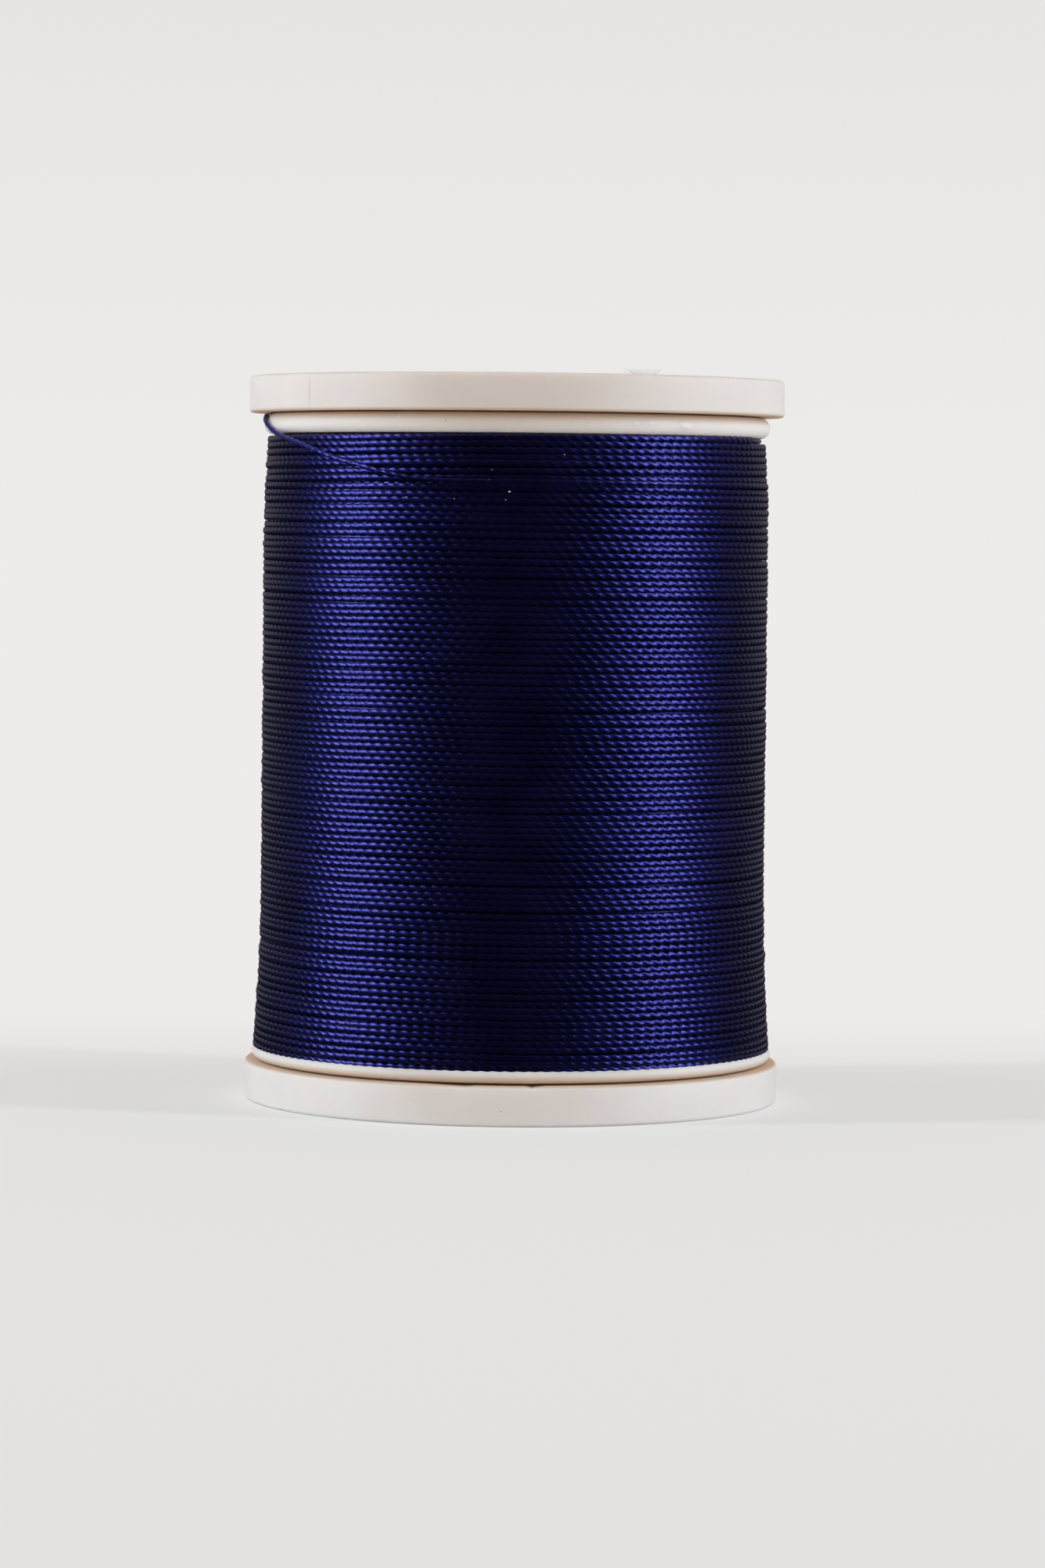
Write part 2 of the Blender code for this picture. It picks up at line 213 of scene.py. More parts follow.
def lay_thread(name, points, material, first_turn=0.0, thickness=None, twist="Z_UP"):
    """Sweeps the two plies along the points, with their twist, into a closed mesh. first_turn is how far the
    plies are turned where it starts, in turns. The turns where it ends are returned with the piece."""
    steps = np.linalg.norm(np.diff(points, axis=0), axis=1)
    along = np.concatenate([[0], np.cumsum(steps)])
    turns = first_turn + along / PLY_PITCH
    curve = bpy.data.curves.new(name, "CURVE")
    curve.dimensions = "3D"
    curve.twist_mode = twist
    curve.bevel_mode = "OBJECT"
    curve.bevel_object = thread_section
    curve.use_fill_caps = True
    spline = curve.splines.new("POLY")
    spline.points.add(len(points) - 1)
    spline.points.foreach_set("co", four_columns(points))
    spline.points.foreach_set("tilt", (math.tau * (turns - math.floor(first_turn))).astype(np.float32))
    if thickness is not None:
        spline.points.foreach_set("radius", np.asarray(thickness, np.float32))
    obj = bpy.data.objects.new(name, curve)
    bpy.context.scene.collection.objects.link(obj)
    obj = to_mesh(obj)
    # The converted UV map runs 0 to 1 along the thread; it is scaled to turns of the plies.
    layer = obj.data.uv_layers[0]
    layer.name = "thread"
    uv = np.empty(len(layer.uv) * 2, np.float32)
    layer.uv.foreach_get("vector", uv)
    uv = uv.reshape(-1, 2)
    uv[:, 1] = first_turn - math.floor(first_turn) + uv[:, 1] * along[-1] / PLY_PITCH
    layer.uv.foreach_set("vector", uv.ravel())
    obj.data.materials.clear()
    obj.data.materials.append(material)
    return obj, turns[-1]


def polyester_thread(name, dark, light, painted_light_colour=None):
    """Bright trilobal polyester filament, dyed navy: almost no colour of its own in the shade, and a
    blue-violet gleam across each ply, because light enters the clear filaments and comes out dyed."""
    made, tree = new_material(name)
    where = add(tree, "ShaderNodeTexCoord")
    # Filaments, drawn as about 8 streaks round the thread; real ones, 0.02 mm, are too fine to show.
    stretch = add(tree, "ShaderNodeMapping", {"Vector": where.outputs["UV"], "Scale": (8, 1.1, 1)})
    streaks = add(tree, "ShaderNodeTexNoise", {"Vector": stretch.outputs[0], "Scale": 1.0, "Detail": 2.0})
    # Lots of dye: patches some 3 mm long that took a little more or less of it.
    place = where.outputs["Object"]
    patches = add(tree, "ShaderNodeTexNoise", {"Vector": place, "Scale": 330.0, "Detail": 1.0})
    both = {0: streaks.outputs["Fac"], 1: patches.outputs["Fac"]}
    tone = add(tree, "ShaderNodeMath", both, operation="MULTIPLY")
    ramp = add(tree, "ShaderNodeMapRange", {"Value": tone.outputs[0], "From Min": 0.15, "From Max": 0.40})
    colour = add(tree, "ShaderNodeMix", {"Factor": ramp.outputs[0]}, data_type="RGBA")
    colour.inputs[6].default_value = srgb(dark)
    colour.inputs[7].default_value = srgb(light)
    tint = colour.outputs[2]
    if painted_light_colour:
        # Painted light: above the wound turns there is no thread behind it. It lets some light through, and
        # that light is painted into its colour as a lighter blue.
        level = add(tree, "ShaderNodeSeparateXYZ", {0: place})
        low, high = PAINTED_LIGHT_Z
        painted_light_ramp = add(tree, "ShaderNodeMapRange", {"Value": level.outputs["Z"], "From Min": low, "From Max": high})
        painted_lighter = add(tree, "ShaderNodeMix", {"Factor": painted_light_ramp.outputs[0]}, data_type="RGBA")
        tree.links.new(tint, painted_lighter.inputs[6])
        painted_lighter.inputs[7].default_value = srgb(painted_light_colour)
        tint = painted_lighter.outputs[2]
    height = streaks.outputs["Fac"]
    bump = add(tree, "ShaderNodeBump", {"Height": height, "Strength": 0.12, "Distance": 0.00002})
    gleam = add(tree, "ShaderNodeMapRange", {"Value": patches.outputs["Fac"], "To Min": 0.31, "To Max": 0.37})
    shader = add(
        tree,
        "ShaderNodeBsdfPrincipled",
        {
            "Base Color": tint,
            "Roughness": gleam.outputs[0],
            "IOR": 1.70,
            "Specular IOR Level": 1.0,
            "Specular Tint": srgb("#5554FF"),
            "Coat Weight": 0.26,
            "Coat Roughness": 0.25,
            "Normal": bump.outputs[0],
        },
    )
    add(tree, "ShaderNodeOutputMaterial", {"Surface": shader.outputs[0]})
    return made


thread_section = ply_outline(THREAD_DIAMETER / 2)
navy_thread = polyester_thread("thread_navy_polyester_filament", "#030409", "#090B1E")
# The tail's material is painted a lighter blue where it leaves the wound turns.
thread_painted_lighter = polyester_thread("thread_navy_polyester_painted_light", "#030409", "#090B1E", "#1C2266")
# Loose filaments are nearly clear.
loose_filament = polyester_thread("thread_loose_polyester_filaments", "#7C88BC", "#98A3D0")

tail_knots = np.array([round_axis(angle, radius, height) for angle, radius, height in TAIL_ROUTE])
tail_line = smooth_line(tail_knots, PLY_PITCH / THREAD_STEPS)
tail_reach = np.hypot(tail_line[:, 0], tail_line[:, 1])
pinched = np.clip((tail_line[:, 2] - PINCH_Z) / PINCH_FADES[0], 0, 1)
outer_end = np.clip((PINCH_REACH[1] - tail_reach) / PINCH_FADES[2], 0, 1)
inner_end = np.clip((tail_reach - PINCH_REACH[0]) / PINCH_FADES[1], 0, 1)
pinched *= outer_end * inner_end
tail_size = TAIL_DIAMETER / THREAD_DIAMETER * (1 - (1 - TAIL_PINCH) * pinched)
thread_tail, _ = lay_thread("thread_tail_end", tail_line, thread_painted_lighter, thickness=tail_size, twist="MINIMUM")
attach(thread_tail, "barrel")
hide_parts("thread_tail")

# Its cut end has come untwisted into a small brush of filaments, which stands up behind the cap.
FRAY_COUNT = 64
FRAY_FIRST_LEAN = -6.6  # degrees round the axis from its root, more by a step for each filament
FRAY_LEAN_STEP = 0.15
FRAY_RISE = 0.00080  # the shortest, and how much longer the longest is
FRAY_RISE_MORE = 0.00056
FRAY_POINTS = 9  # along each filament
FRAY_RADIUS = 0.000004  # finer than the real ones, so that they blur as the photographed ones do

fray_curve = bpy.data.curves.new("thread_tail_fray", "CURVE")
fray_curve.dimensions = "3D"
fray_curve.bevel_depth = FRAY_RADIUS
fray_curve.bevel_resolution = 1
fray_curve.use_fill_caps = True
root_angle, root_radius, root_height = TAIL_ROUTE[-1]
for number in range(FRAY_COUNT):
    lean = FRAY_FIRST_LEAN + FRAY_LEAN_STEP * number
    rise = FRAY_RISE + FRAY_RISE_MORE * abs(math.sin(2.3 * number))
    t = np.linspace(0, 1, FRAY_POINTS)
    radii = root_radius - 0.00010 + 0.00018 * t
    hair = round_axis(root_angle + lean * t**1.5, radii, root_height - 0.00006 + rise * t)
    spline = fray_curve.splines.new("POLY")
    spline.points.add(len(t) - 1)
    spline.points.foreach_set("co", four_columns(hair))
thread_fray = bpy.data.objects.new("thread_tail_fray", fray_curve)
bpy.context.scene.collection.objects.link(thread_fray)
thread_fray = to_mesh(thread_fray)
thread_fray.data.uv_layers[0].name = "thread"
thread_fray.data.materials.append(loose_filament)
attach(thread_fray, "barrel")


# ----------------------------------------------------------------------------------------------
# Wound thread: about 95 turns of the same thread lie on the surface, 0.38 mm apart. The last
# pass climbs from the foot to the tail; above the tail and between its turns the pass before it
# shows, wound the other way. Both lie on the buried turns, which are a plain drum here.
# ----------------------------------------------------------------------------------------------
TURN_PITCH = 0.000384
WINDING_WAIST = 0.01513
WINDING_FOOT = 0.01550
WINDING_HEAD = 0.01488
FOOT_Z = 0.00365
HEAD_Z = 0.03975
FLARE_HEIGHT = 0.010  # how far up the foot's flare reaches
TAPER_HEIGHT = 0.006  # how far down the head's taper reaches
FIRST_TURN_Z = 0.003008  # so that the pass starts at the back
LOWEST_TURN_Z = 0.00320  # the first turn lies level against the flange
LAST_TURN_Z = 0.03958
BAND_TURNS = 15  # turns in one piece, so that no piece is too heavy
RINGS_A_TURN = round(math.tau * WINDING_WAIST / PLY_PITCH * THREAD_STEPS)
WOUND_SPREAD = 1.58  # how much wider the thread lies where its turns are pressed together
WOUND_FLAT = 0.57  # and how much of that width its depth is
WOUND_DEPTH = THREAD_DIAMETER / 2 * WOUND_SPREAD * WOUND_FLAT
LAYER_DROP = 0.00011  # from one pass down to the pass below it
LEAST_PITCH = 0.00031  # between two turns of a pass
PASS_WANDER = ((1.3, 0.000035), (4.7, 0.000022), (17, 0.000010))  # knots to a turn and size, along the axis
ROW_WANDER = (2.3, 0.00002)  # the same, in and out
UPPER_START_ANGLE = 190  # where the pass before the last starts, at the back
UPPER_TURNS_COVERED = 3  # how many of its shown turns go on below the tail
UPPER_DIVE = 0.00034  # the height over which it goes under the last pass
CLIMB_TURNS = 0.35  # the stretch of the last turn that rides up to the tail
FAR_OFF = 0.001  # no point of the section is as far as this from its own ring


def winding_radius(height):
    """Outer radius of the winding: flared at the foot, even at the waist, drawn in at the head."""
    foot = np.clip(1 - (height - FOOT_Z) / FLARE_HEIGHT, 0, 1.02)
    head = np.clip(1 - (HEAD_Z - height) / TAPER_HEIGHT, 0, 1)
    flare = (WINDING_FOOT - WINDING_WAIST) * foot**2
    return WINDING_WAIST + flare + (WINDING_HEAD - WINDING_WAIST) * head**2


def wander(count, knots_a_turn, size, random):
    """A smooth random line over that many turns, as the hand of the winding machine wanders."""
    knots = random.normal(0, size, math.ceil(count * knots_a_turn) + 5)
    at = np.arange(round(count * RINGS_A_TURN) + 1) / RINGS_A_TURN * knots_a_turn
    whole = at.astype(int)
    t = at - whole
    t = t * t * (3 - 2 * t)
    return knots[whole] * (1 - t) + knots[whole + 1] * t


def wound_heights(bottom, top, random):
    """Heights along a pass from bottom to top: uneven turns that wander, but never lie inside each other."""
    count = (top - bottom) / TURN_PITCH
    rings = round(count * RINGS_A_TURN)
    heights = np.linspace(bottom, top, rings + 1)
    number = np.arange(rings + 1)
    ease = np.clip(number / RINGS_A_TURN, 0, 1) * np.clip((rings - number) / RINGS_A_TURN, 0, 1)
    for knots_a_turn, size in PASS_WANDER:
        heights = heights + ease * wander(count, knots_a_turn, size, random)[: rings + 1]
    turn = RINGS_A_TURN
    for _ in range(12):  # each time, turns that are too close push each other apart a little
        short = np.clip(LEAST_PITCH - (heights[turn:] - heights[:-turn]), 0, None) * 0.5
        heights[turn:] += short * 0.6
        heights[:-turn] -= short * 0.6
    return heights


def press(obj, line):
    """Flattens wound thread against the spool, ring by ring of its mesh."""
    co = np.empty(len(obj.data.vertices) * 3, np.float32)
    obj.data.vertices.foreach_get("co", co)
    co = co.reshape(-1, 3)
    near = np.arange(len(co))[:, None] // len(PLY_REACH) + np.arange(-2, 3)
    near = np.clip(near, 0, len(line) - 1)
    gap = np.linalg.norm(co[:, None] - line[near], axis=2)
    ring = near[np.arange(len(co)), gap.argmin(1)]
    # The points of the end caps are numbered out of turn, so their ring is looked for along the whole line.
    for stray in np.flatnonzero(gap.min(1) > FAR_OFF):
        ring[stray] = np.linalg.norm(line - co[stray], axis=1).argmin()
    centre = line[ring]
    outward = centre * (1, 1, 0)
    outward /= np.linalg.norm(outward, axis=1)[:, None]
    depth = ((co - centre) * outward).sum(1)
    co -= outward * (depth * (1 - WOUND_FLAT))[:, None]
    obj.data.vertices.foreach_set("co", co.ravel())
    obj.data.update()


random = np.random.default_rng(7)
tail_angle, tail_radius, tail_height = TAIL_ROUTE[0]

# The pass before the last, which shows above the tail and dives under the last pass below it.
upper_heights = wound_heights(tail_height - UPPER_TURNS_COVERED * TURN_PITCH, LAST_TURN_Z, random)
upper_angles = UPPER_START_ANGLE - 360 * np.arange(len(upper_heights)) / RINGS_A_TURN
covered = tail_height - TURN_PITCH * ((tail_angle - upper_angles) % 360) / 360
upper_rise = np.clip((upper_heights - covered) / UPPER_DIVE, 0, 1)
upper_rise = upper_rise * upper_rise * (3 - 2 * upper_rise)
upper_radii = winding_radius(upper_heights) - WOUND_DEPTH - (1 - upper_rise) * LAYER_DROP
upper_radii = upper_radii + wander(len(upper_radii) / RINGS_A_TURN, *ROW_WANDER, random)[: len(upper_radii)]
upper_line = round_axis(upper_angles, upper_radii, upper_heights)
spread = np.full(len(upper_line), WOUND_SPREAD)
thread_upper, _ = lay_thread("thread_wound_top", upper_line, navy_thread, first_turn=0.3, thickness=spread)
press(thread_upper, upper_line)
wound = [thread_upper]

# The last pass, in bands; its last half turn rides up on its neighbours to the tail.
last_heights = np.maximum(wound_heights(FIRST_TURN_Z, tail_height, random), LOWEST_TURN_Z)
rings = len(last_heights)
rings_to_go = rings - 1 - np.arange(rings)
last_angles = tail_angle - 360 * rings_to_go / RINGS_A_TURN
seated = winding_radius(last_heights) - WOUND_DEPTH
seated = seated + wander(rings / RINGS_A_TURN, *ROW_WANDER, random)[:rings]
climb = np.clip(1 - rings_to_go / (CLIMB_TURNS * RINGS_A_TURN), 0, 1)
climb = climb * climb * (3 - 2 * climb)
last_radii = seated + climb * (tail_radius - seated)
last_line = round_axis(last_angles, last_radii, last_heights)
turned = 0.0
band = BAND_TURNS * RINGS_A_TURN
for number, start in enumerate(range(0, rings - 1, band)):
    stop = min(start + band, rings - 1)
    spread = WOUND_SPREAD + (1 - WOUND_SPREAD) * climb[start : stop + 1]
    line = last_line[start : stop + 1]
    name = f"thread_wound_{number + 1}"
    piece, turned = lay_thread(name, line, navy_thread, first_turn=turned, thickness=spread)
    press(piece, line)
    wound.append(piece)

# The same pass as the upper one goes on beneath, where it shows only between the turns.
under_rings = 72  # to a turn, as it is hardly seen
under_count = round((LAST_TURN_Z - FIRST_TURN_Z) / TURN_PITCH * under_rings)
under_heights = np.linspace(FIRST_TURN_Z + 0.0002, LAST_TURN_Z, under_count)
under_angles = -360 * np.arange(under_count) / under_rings
under_radii = winding_radius(under_heights) - THREAD_DIAMETER / 2 - LAYER_DROP * 1.1
under_line = round_axis(under_angles, under_radii, under_heights)
under_curve = bpy.data.curves.new("thread_wound_beneath", "CURVE")
under_curve.dimensions = "3D"
under_curve.bevel_depth = THREAD_DIAMETER / 2
under_curve.bevel_resolution = 1
under_curve.use_fill_caps = True
under_spline = under_curve.splines.new("POLY")
under_spline.points.add(under_count - 1)
under_spline.points.foreach_set("co", four_columns(under_line))
thread_beneath = bpy.data.objects.new("thread_wound_beneath", under_curve)
bpy.context.scene.collection.objects.link(thread_beneath)
thread_beneath = to_mesh(thread_beneath)
beneath_uv = thread_beneath.data.uv_layers[0]
beneath_uv.name = "thread"
uv = np.empty(len(beneath_uv.uv) * 2, np.float32)
beneath_uv.uv.foreach_get("vector", uv)
uv[1::2] *= np.linalg.norm(np.diff(under_line, axis=0), axis=1).sum() / PLY_PITCH
beneath_uv.uv.foreach_set("vector", uv)
thread_beneath.data.materials.append(navy_thread)
wound.append(thread_beneath)


def spin_outline(name, outline, steps):
    """A closed outline of (radius, height) points, drawn by extruding one point, then spun round the axis."""
    bpy.ops.object.select_all(action="DESELECT")
    bpy.ops.mesh.primitive_plane_add(size=0.001, location=(outline[0][0], 0, outline[0][1]))
    bpy.ops.object.transform_apply(location=True)
    obj = bpy.context.object
    obj.name = obj.data.name = name
    bpy.ops.object.mode_set(mode="EDIT")
    bpy.ops.mesh.merge(type="CENTER")
    for (r0, z0), (r1, z1) in zip(outline, [*outline[1:], outline[0]]):
        bpy.ops.mesh.extrude_region_move(TRANSFORM_OT_translate={"value": (r1 - r0, 0, z1 - z0)})
    bpy.ops.mesh.select_all(action="SELECT")
    bpy.ops.mesh.remove_doubles(threshold=1e-6)
    bpy.ops.mesh.spin(steps=steps, angle=math.tau, center=(0, 0, 0), axis=(0, 0, 1))
    bpy.ops.mesh.select_all(action="SELECT")
    bpy.ops.mesh.remove_doubles(threshold=1e-6)
    bpy.ops.mesh.normals_make_consistent(inside=False)
    bpy.ops.object.mode_set(mode="OBJECT")
    return obj


DRUM_INSET = 2 * LAYER_DROP + 0.00014  # the crests of the third pass down
DRUM_BORE = 0.0098  # just clear of the barrel's tube
DRUM_STEPS = 96
drum_levels = np.linspace(HEAD_Z - 0.00004, FIRST_TURN_Z, 24)
drum_outline = [(float(winding_radius(z)) - DRUM_INSET, float(z)) for z in drum_levels]
drum_outline += [(DRUM_BORE, float(drum_levels[-1])), (DRUM_BORE, float(drum_levels[0]))]
thread_drum = spin_outline("thread_wound_core", drum_outline, DRUM_STEPS)
thread_drum.data.materials.append(navy_thread)
bpy.ops.object.shade_smooth()
wound.append(thread_drum)

for piece in wound:
    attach(piece, "barrel")
    buried = piece in (thread_drum, thread_beneath)
    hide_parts("thread_winding" if buried else "thread_outer_layer")


# ----------------------------------------------------------------------------------------------
# Barrel: one moulding in natural white polypropylene, a tube with a thin round-edged flange at each
# end, the bore grooved for the caps' beads and keyed so that they don't turn.
# ----------------------------------------------------------------------------------------------
TUBE_RADIUS = 0.0095
BORE_RADIUS = 0.0080
TOP_FLANGE_RADIUS = 0.01515
BOTTOM_FLANGE_RADIUS = 0.0156
TOP_SLIT_Z = 0.04100
BOTTOM_SLIT_Z = 0.00240
TOP_SLIT = 0.00005  # how far a closed cap stands off its flange
BOTTOM_SLIT = 0.00009
FLANGE_CUT = 0.00036  # the lowest turn lies this far over the bottom flange's rounding
TURNED_STEPS = 480
SHARP_ANGLE = math.radians(35)
FINGER_COUNT = 6
KEY_WIDTH = 0.0012
KEY_RISE = 0.0010  # how far a key stands into the bore
KEY_ROOT = 0.0011  # how far it is sunk behind the bore
KEY_DEPTHS = (0.0006, 0.0051)  # its ends, in from the flange's outer face
GROOVE_STEPS = (  # beyond the bore's radius, in from the flange's outer face
    (0.0003, 0),  # lead-in
    (0, 0.0003),
    (0, 0.0012),  # shoulder
    (0.0008, 0.0015),
    (0.0008, 0.00235),
    (0.00065, 0.00241),  # low land between closed and open
    (0.00065, 0.00289),
    (0.0008, 0.00295),
    (0.0008, 0.0051),
    (0, 0.0054),
)


def moulded_polypropylene(name, dark, light, painted_slit_shade=(), inner_light=0.5):
    """Injection-moulded polypropylene, natural white: satin from the polished mould, and light goes a little
    way in and comes out warmer. The tan shade in the slits is partly that and partly painted shade: bands
    of tan colour at the heights given. A thread of flash has no inner light."""
    made, tree = new_material(name)
    where = add(tree, "ShaderNodeTexCoord")
    # Grain of the mould's surface, about 0.25 mm, and slow waves of flow, about 4 mm.
    place = where.outputs["Object"]
    grain = add(tree, "ShaderNodeTexNoise", {"Vector": place, "Scale": 4000.0, "Detail": 3.0})
    flow = add(tree, "ShaderNodeTexNoise", {"Vector": place, "Scale": 250.0, "Detail": 2.0})
    tone = add(tree, "ShaderNodeMapRange", {"Value": flow.outputs["Fac"], "From Min": 0.3, "From Max": 0.7})
    colour = add(tree, "ShaderNodeMix", {"Factor": tone.outputs[0]}, data_type="RGBA")
    colour.inputs[6].default_value = srgb(dark)
    colour.inputs[7].default_value = srgb(light)
    # Scuffs from the drawer: pale streaks about 1 mm long, each a scatter of fine scratches.
    drawn = add(tree, "ShaderNodeMapping", {"Vector": place, "Scale": (900, 900, 3200)})
    scuffs = add(
        tree,
        "ShaderNodeTexNoise",
        {"Vector": drawn.outputs[0], "Scale": 1.0, "Detail": 4.0, "Roughness": 0.7},
    )
    scuffed = add(
        tree,
        "ShaderNodeMapRange",
        {"Value": scuffs.outputs["Fac"], "From Min": 0.66, "From Max": 0.74, "To Max": 0.55},
    )
    worn = add(tree, "ShaderNodeMix", {"Factor": scuffed.outputs[0]}, data_type="RGBA")
    tree.links.new(colour.outputs[2], worn.inputs[6])
    worn.inputs[7].default_value = srgb("#F7F6F4")
    tint = worn.outputs[2]
    # Painted shade in the slits: a band of tan colour that stands in for the warm shade there. It starts at
    # one height and is full at the other.
    level = add(tree, "ShaderNodeSeparateXYZ", {0: place})
    for start, full in painted_slit_shade:
        band = add(
            tree,
            "ShaderNodeMapRange",
            {"Value": level.outputs["Z"], "From Min": start, "From Max": full, "To Max": 0.75},
        )
        slit_shade_tint = add(tree, "ShaderNodeMix", {"Factor": band.outputs[0]}, data_type="RGBA")
        tree.links.new(tint, slit_shade_tint.inputs[6])
        slit_shade_tint.inputs[7].default_value = srgb("#D2B596")
        tint = slit_shade_tint.outputs[2]
    bumps = grain.outputs["Fac"]
    rough = add(tree, "ShaderNodeMapRange", {"Value": bumps, "To Min": 0.52, "To Max": 0.68})
    bump = add(tree, "ShaderNodeBump", {"Height": bumps, "Strength": 0.25, "Distance": 0.00001})
    shader = add(
        tree,
        "ShaderNodeBsdfPrincipled",
        {
            "Base Color": tint,
            "Roughness": rough.outputs[0],
            "IOR": 1.49,
            "Subsurface Weight": inner_light,
            "Subsurface Radius": (1.0, 0.50, 0.26),
            "Subsurface Scale": 0.0011,
            "Normal": bump.outputs[0],
        },
    )
    add(tree, "ShaderNodeOutputMaterial", {"Surface": shader.outputs[0]})
    return made


def arc(centre_r, centre_z, radius, start, stop, steps):
    """Points of an arc in the outline's plane, from start to stop degrees, counted from outwards to up."""
    angles = np.radians(np.linspace(start, stop, steps + 1))
    return [(centre_r + radius * float(np.cos(a)), centre_z + radius * float(np.sin(a))) for a in angles]


def flange_outline(radius, top, bottom):
    half = (top - bottom) / 2
    return arc(radius - half, top - half, half, 90, -90, 20)


def groove_outline(face, inward):
    """The bore at one end, from the flange's outer face inwards."""
    return [(BORE_RADIUS + out, face + inward * depth) for out, depth in GROOVE_STEPS]


def radial_boxes(inner, outer, width, low, high):
    """Six boxes round the axis, between two radii and two heights, joined into one object."""
    bpy.ops.object.select_all(action="DESELECT")
    boxes = []
    for number in range(FINGER_COUNT):
        turn = math.tau * (number + 0.5) / FINGER_COUNT
        middle = (inner + outer) / 2
        place = (middle * math.cos(turn), middle * math.sin(turn), (low + high) / 2)
        bpy.ops.mesh.primitive_cube_add(size=1, location=place, rotation=(0, 0, turn))
        bpy.context.object.scale = (outer - inner, width, high - low)
        boxes.append(bpy.context.object)
    for box in boxes:
        box.select_set(True)
    bpy.ops.object.transform_apply(location=True, rotation=True, scale=True)
    bpy.ops.object.join()
    return bpy.context.object


def combine(obj, tool, operation):
    """Joins the tool to the object or cuts it away, and takes the tool out of the scene."""
    select_only(obj)
    bpy.ops.object.modifier_add(type="BOOLEAN")
    obj.modifiers[-1].operation = operation
    obj.modifiers[-1].object = tool
    bpy.ops.object.modifier_apply(modifier=obj.modifiers[-1].name)
    bpy.data.objects.remove(tool)


top_face = TOP_SLIT_Z - TOP_SLIT / 2
bottom_face = BOTTOM_SLIT_Z + BOTTOM_SLIT / 2
barrel_outline = flange_outline(TOP_FLANGE_RADIUS, top_face, HEAD_Z)
barrel_outline += [(TUBE_RADIUS, HEAD_Z), (TUBE_RADIUS, FOOT_Z - FLANGE_CUT)]
barrel_outline += flange_outline(BOTTOM_FLANGE_RADIUS, FOOT_Z - FLANGE_CUT, bottom_face)
barrel_outline += groove_outline(bottom_face, 1)
barrel_outline += reversed(groove_outline(top_face, -1))
barrel = spin_outline("barrel_moulding", barrel_outline, TURNED_STEPS)
for face, inward in ((top_face, -1), (bottom_face, 1)):
    levels = sorted(face + inward * depth for depth in KEY_DEPTHS)
    keys = radial_boxes(BORE_RADIUS - KEY_RISE, BORE_RADIUS + KEY_ROOT, KEY_WIDTH, *levels)
    combine(barrel, keys, "UNION")
bpy.ops.object.shade_smooth_by_angle(angle=SHARP_ANGLE)
# Its two height ranges are painted tan shade, just under the top slit and just over the bottom one.
white_barrel = moulded_polypropylene(
    "polypropylene_white_barrel", "#EDE9E6", "#F1EDEA", ((0.04050, 0.04090), (0.00292, 0.00252))
)
barrel.data.materials.append(white_barrel)
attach(barrel, "barrel")
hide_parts("barrel")


# ----------------------------------------------------------------------------------------------
# Caps: one at each end, moulded in the same white polypropylene. Each has a rim, a web with the
# hole for the machine's spool pin, and six snap fingers whose beads run in the barrel's grooves.
# ----------------------------------------------------------------------------------------------
CAP_RADIUS = 0.0160
CAP_TOP_Z = 0.0432
CAP_EDGE = 0.00025
CAP_LIP_EDGE = 0.00020
RIM_INNER_RADIUS = 0.0138
WEB_THICKNESS = 0.0011
PIN_HOLE_RADIUS = 0.0040
FINGER_RADIUS = 0.0077
FINGER_WALL = 0.0010
BEAD_RADIUS = 0.0085
BEAD_START = 0.0035  # these four are depths below the flange's outer face
BEAD_FULL = 0.0038
BEAD_END = 0.0042
FINGER_TIP = 0.0048
FINGER_GAP_END = 0.0058  # past the tip
FINGER_GAP_WIDTH = 0.0018
FINGER_ROOT_RING = 0.0006  # left whole under the web, where it joins the fingers
LIP_NICKS = (  # on the bottom cap: degrees from the front towards the left, how far the lip is worn down
    (-55.2, 0),
    (-53.9, 0.00006),
    (-52.8, 0),
    (-7.5, 0),
    (-5.2, 0.00007),
    (-4.5, 0.00014),
    (-3.4, 0.00002),
    (7.7, 0.00002),
    (9.2, 0.00010),
    (14.8, 0.00003),
    (18.0, 0),
)
NICK_HEIGHT = 0.0004  # how far down the rim a nick pulls the plastic
NICK_REACH = 0.0150  # only outside this radius
SEAM_ANGLE = 48.9  # the mould's parting line on the top cap, with a thread of flash along it, painted darker than the cap
SEAM_SIZE = (0.00005, 0.000008, 0.0017)  # across, deep, tall


def cap_outline(height, slit):
    """A cap with its lip at zero and its face at height; the fingers reach down from it."""
    edge = CAP_EDGE
    web = height - WEB_THICKNESS
    face = -slit  # the flange's outer face, when the cap is closed
    outline = arc(CAP_RADIUS - edge, height - edge, edge, 90, 0, 6)
    outline += arc(CAP_RADIUS - CAP_LIP_EDGE, CAP_LIP_EDGE, CAP_LIP_EDGE, 0, -90, 5)
    outline += [(RIM_INNER_RADIUS, 0), (RIM_INNER_RADIUS, web), (FINGER_RADIUS, web)]
    outline += [(FINGER_RADIUS, face - BEAD_START), (BEAD_RADIUS, face - BEAD_FULL)]
    outline += [(BEAD_RADIUS, face - BEAD_END), (FINGER_RADIUS, face - FINGER_TIP)]
    outline += [(FINGER_RADIUS - FINGER_WALL, face - FINGER_TIP)]
    outline += [(FINGER_RADIUS - FINGER_WALL, web), (PIN_HOLE_RADIUS, web)]
    outline += arc(PIN_HOLE_RADIUS + edge, height - edge, edge, 180, 90, 4)
    return outline


def build_cap(name, height, slit):
    """A cap with its lip at zero, its fingers cut apart below a ring that joins them to the web."""
    cap = spin_outline(name, cap_outline(height, slit), TURNED_STEPS)
    inner = FINGER_RADIUS - 2 * FINGER_WALL
    outer = BEAD_RADIUS + FINGER_WALL
    root = height - WEB_THICKNESS - FINGER_ROOT_RING
    gaps = radial_boxes(inner, outer, FINGER_GAP_WIDTH, -slit - FINGER_GAP_END, root)
    combine(cap, gaps, "DIFFERENCE")
    return cap


